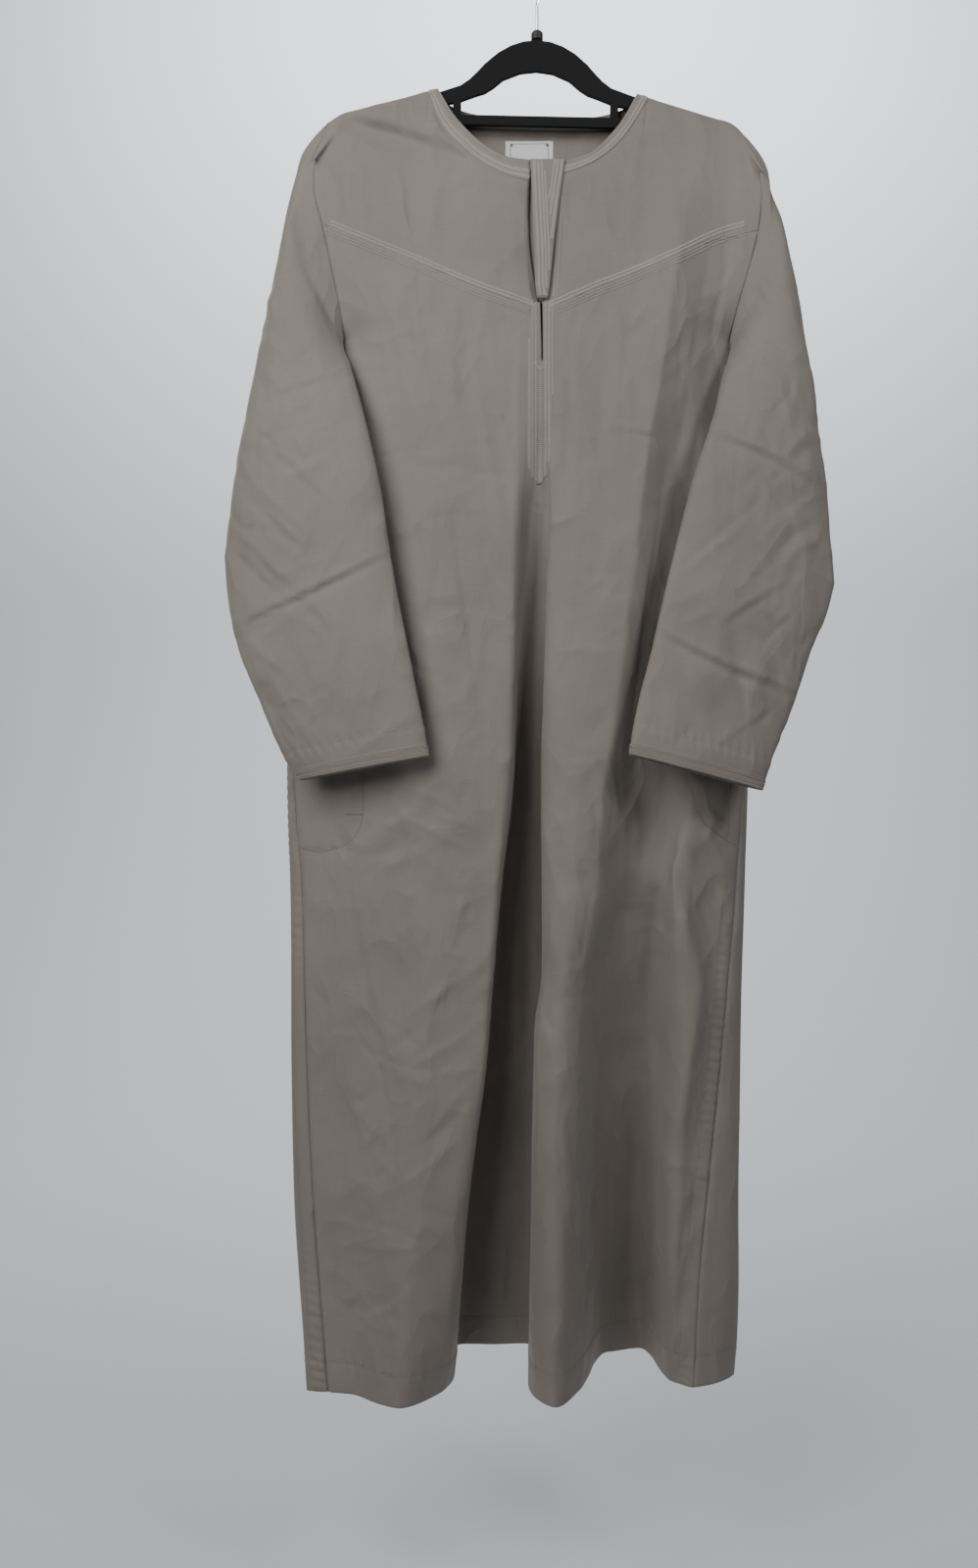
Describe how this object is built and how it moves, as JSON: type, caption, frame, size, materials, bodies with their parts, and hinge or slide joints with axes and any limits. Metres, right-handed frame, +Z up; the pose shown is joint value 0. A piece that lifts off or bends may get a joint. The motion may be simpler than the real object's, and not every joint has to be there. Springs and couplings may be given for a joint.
{
  "type": "thobe robe on a hanger",
  "caption": "Ankle-length collarless robe with wide long sleeves, V yoke seams and an embroidered chest placket, hung by its shoulders on a thin flocked wire-hook hanger.",
  "frame": {"origin": "inside the crown of the wire hook, where the rail goes", "axes": "+Z up along the robe's length, -Y to the front of the robe, +X to the viewer's right"},
  "size_m": [0.663, 0.1973, 1.5856],
  "materials": {
    "taupe_cloth": "smooth plain weave, slight sheen",
    "embroidery_thread": "raised machine embroidery, slight sheen",
    "label_cloth": "plain woven label",
    "black_flock": "short black flock",
    "chrome_wire": "polished"
  },
  "bodies": {
    "root": {"back_body": "taupe_cloth", "cuff_trim_left": "embroidery_thread", "cuff_trim_right": "embroidery_thread", "front_body": "taupe_cloth", "front_yoke_left": "taupe_cloth", "front_yoke_right": "taupe_cloth", "hanger_body": "black_flock", "hanger_plug": "black_flock", "neck_band": "embroidery_thread", "neck_label": "label_cloth", "placket_panel": "embroidery_thread", "placket_tab": "embroidery_thread", "pocket_left": "taupe_cloth", "pocket_right": "taupe_cloth", "sleeve_left": "taupe_cloth", "sleeve_right": "taupe_cloth", "wire_hook": "chrome_wire", "yoke_trim_left": "embroidery_thread", "yoke_trim_right": "embroidery_thread"}
  },
  "joints": []
}
